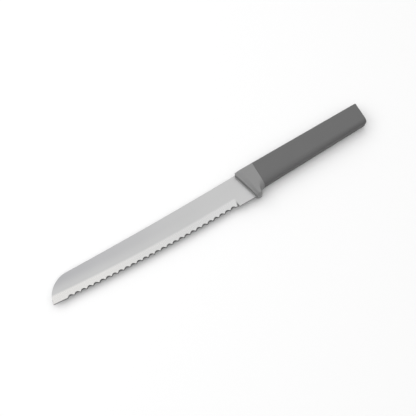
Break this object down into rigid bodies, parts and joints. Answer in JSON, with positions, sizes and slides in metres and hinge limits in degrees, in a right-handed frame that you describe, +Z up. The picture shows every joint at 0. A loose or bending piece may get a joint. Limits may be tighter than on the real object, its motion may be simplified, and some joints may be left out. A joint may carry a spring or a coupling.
{
  "type": "bread knife",
  "caption": "Long bread knife with a serrated steel blade, a light plastic bolster with a finger guard, and a straight dark soft grip.",
  "frame": {"origin": "middle of the knife's outline, on the surface that it lies on", "axes": "+X from the blade's tip to the butt, +Y from the cutting edge to the spine, +Z up from the surface, out of the knife's left side"},
  "size_m": [0.3292, 0.0296, 0.017],
  "materials": {
    "blade_steel": "stainless steel, finely ground along the flats, with a bright ground bevel",
    "bolster_plastic": "light grey polypropylene, satin moulded",
    "grip_rubber": "dark grey soft-touch elastomer, fine matte moulded texture",
    "core_plastic": "black polypropylene, plain moulded, hidden inside the grip",
    "pin_steel": "plain turned stainless steel, hidden inside the grip"
  },
  "bodies": {
    "root": {"blade": "blade_steel", "bolster": "bolster_plastic", "grip": "grip_rubber", "core_left": "core_plastic", "core_right": "core_plastic", "tang_pins": "pin_steel"}
  },
  "joints": []
}
